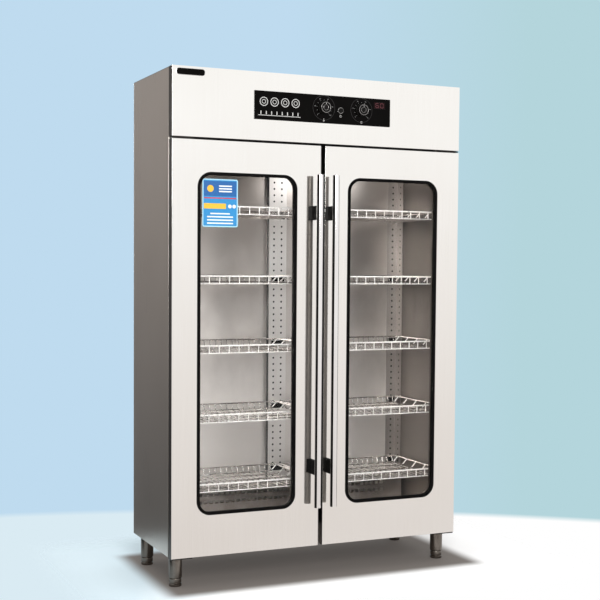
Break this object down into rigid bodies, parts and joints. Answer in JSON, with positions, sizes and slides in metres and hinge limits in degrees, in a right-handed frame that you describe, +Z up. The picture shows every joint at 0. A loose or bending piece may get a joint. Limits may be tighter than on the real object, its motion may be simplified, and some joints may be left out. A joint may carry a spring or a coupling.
{
  "type": "dish sterilizer cabinet",
  "caption": "Free-standing dish sterilizer cabinet with glazed steel doors, wire baskets, long bar handles, a control panel with knobs, and levelling feet.",
  "frame": {"origin": "on the floor, at the middle of the whole cabinet's width and depth, handles included", "axes": "+X to the cabinet's right as seen from its front, -Y out of the doors, +Z up"},
  "size_m": [1.23, 0.559, 1.95],
  "materials": {
    "polished_steel": "bright fine-brushed stainless steel",
    "brushed_steel": "vertically brushed stainless steel",
    "inner_steel": "satin stainless steel sheet",
    "dark_steel": "dull steel sheet",
    "leg_steel": "satin stainless tube",
    "bright_wire": "bright plated wire",
    "bar_steel": "polished stainless bar",
    "gloss_black": "gloss black panel",
    "black_rubber": "black extruded rubber",
    "gasket_rubber": "dark grey soft gasket",
    "black_plastic": "satin black moulded plastic",
    "red_lens": "dark red tinted lens",
    "clear_glass": "clear toughened glass"
  },
  "bodies": {
    "cabinet": {"left_side_panel": "brushed_steel", "right_side_panel": "brushed_steel", "top_panel": "brushed_steel", "base_pan": "dark_steel", "rear_panel": "brushed_steel", "cable_inlet": "black_plastic", "left_liner": "inner_steel", "right_liner": "inner_steel", "rear_liner": "inner_steel", "floor_liner": "inner_steel", "ceiling_liner": "inner_steel", "centre_rear_post": "inner_steel", "centre_front_post": "inner_steel", "left_rear_post": "inner_steel", "right_rear_post": "inner_steel", "left_front_post": "inner_steel", "right_front_post": "inner_steel", "heater_cover": "inner_steel", "heater_element": "dark_steel", "fan_motor": "dark_steel", "fascia": "polished_steel", "control_panel": "gloss_black", "display_window": "red_lens", "control_module": "black_plastic", "left_basket_1": "bright_wire", "right_basket_1": "bright_wire", "left_basket_2": "bright_wire", "right_basket_2": "bright_wire", "left_basket_3": "bright_wire", "right_basket_3": "bright_wire", "left_basket_4": "bright_wire", "right_basket_4": "bright_wire", "left_basket_5": "bright_wire", "right_basket_5": "bright_wire", "left_top_pivot": "brushed_steel", "left_bottom_pivot": "brushed_steel", "left_front_leg": "leg_steel", "left_rear_leg": "leg_steel", "right_top_pivot": "brushed_steel", "right_bottom_pivot": "brushed_steel", "right_front_leg": "leg_steel", "right_rear_leg": "leg_steel"},
    "left_door": {"left_door_frame": "polished_steel", "left_window_seal": "black_rubber", "left_window_glass": "clear_glass", "left_door_gasket": "gasket_rubber", "left_handle": "bar_steel"},
    "right_door": {"right_door_frame": "polished_steel", "right_window_seal": "black_rubber", "right_window_glass": "clear_glass", "right_door_gasket": "gasket_rubber", "right_handle": "bar_steel"},
    "temperature_dial": {"temperature_knob": "black_plastic"},
    "timer_dial": {"timer_knob": "black_plastic"},
    "button": {"power_button": "black_plastic"},
    "fan": {"fan_impeller": "inner_steel"},
    "left_front_levelling_foot": {"left_front_foot": "leg_steel"},
    "right_front_levelling_foot": {"right_front_foot": "leg_steel"},
    "left_rear_levelling_foot": {"left_rear_foot": "leg_steel"},
    "right_rear_levelling_foot": {"right_rear_foot": "leg_steel"}
  },
  "joints": [
    {"name": "left_door_hinge", "type": "hinge", "parent": "cabinet", "child": "left_door", "pos_m": [-0.603, -0.2025, 0.12], "axis": [0, 0, -1], "range_deg": [0, 110]},
    {"name": "right_door_hinge", "type": "hinge", "parent": "cabinet", "child": "right_door", "pos_m": [0.603, -0.2025, 0.12], "axis": [0, 0, 1], "range_deg": [0, 110]},
    {"name": "temperature_knob_turn", "type": "hinge", "parent": "cabinet", "child": "temperature_dial", "pos_m": [0, -0.23, 1.83], "axis": [0, 1, 0], "range_deg": [0, 270]},
    {"name": "timer_knob_turn", "type": "hinge", "parent": "cabinet", "child": "timer_dial", "pos_m": [0.16353, -0.23, 1.83], "axis": [0, 1, 0], "range_deg": [0, 300]},
    {"name": "power_button_press", "type": "slide", "parent": "cabinet", "child": "button", "axis": [0, 1, 0], "range_m": [0, 0.0025], "stiffness_N_per_m": 400},
    {"name": "fan_spin", "type": "hinge", "parent": "cabinet", "child": "fan", "pos_m": [0, 0.0305, 1.62], "axis": [0, 0, 1], "continuous": true},
    {"name": "left_front_foot_travel", "type": "slide", "parent": "cabinet", "child": "left_front_levelling_foot", "axis": [0, 0, -1], "range_m": [0, 0.02]},
    {"name": "right_front_foot_travel", "type": "slide", "parent": "cabinet", "child": "right_front_levelling_foot", "axis": [0, 0, -1], "range_m": [0, 0.02]},
    {"name": "left_rear_foot_travel", "type": "slide", "parent": "cabinet", "child": "left_rear_levelling_foot", "axis": [0, 0, -1], "range_m": [0, 0.02]},
    {"name": "right_rear_foot_travel", "type": "slide", "parent": "cabinet", "child": "right_rear_levelling_foot", "axis": [0, 0, -1], "range_m": [0, 0.02]}
  ]
}
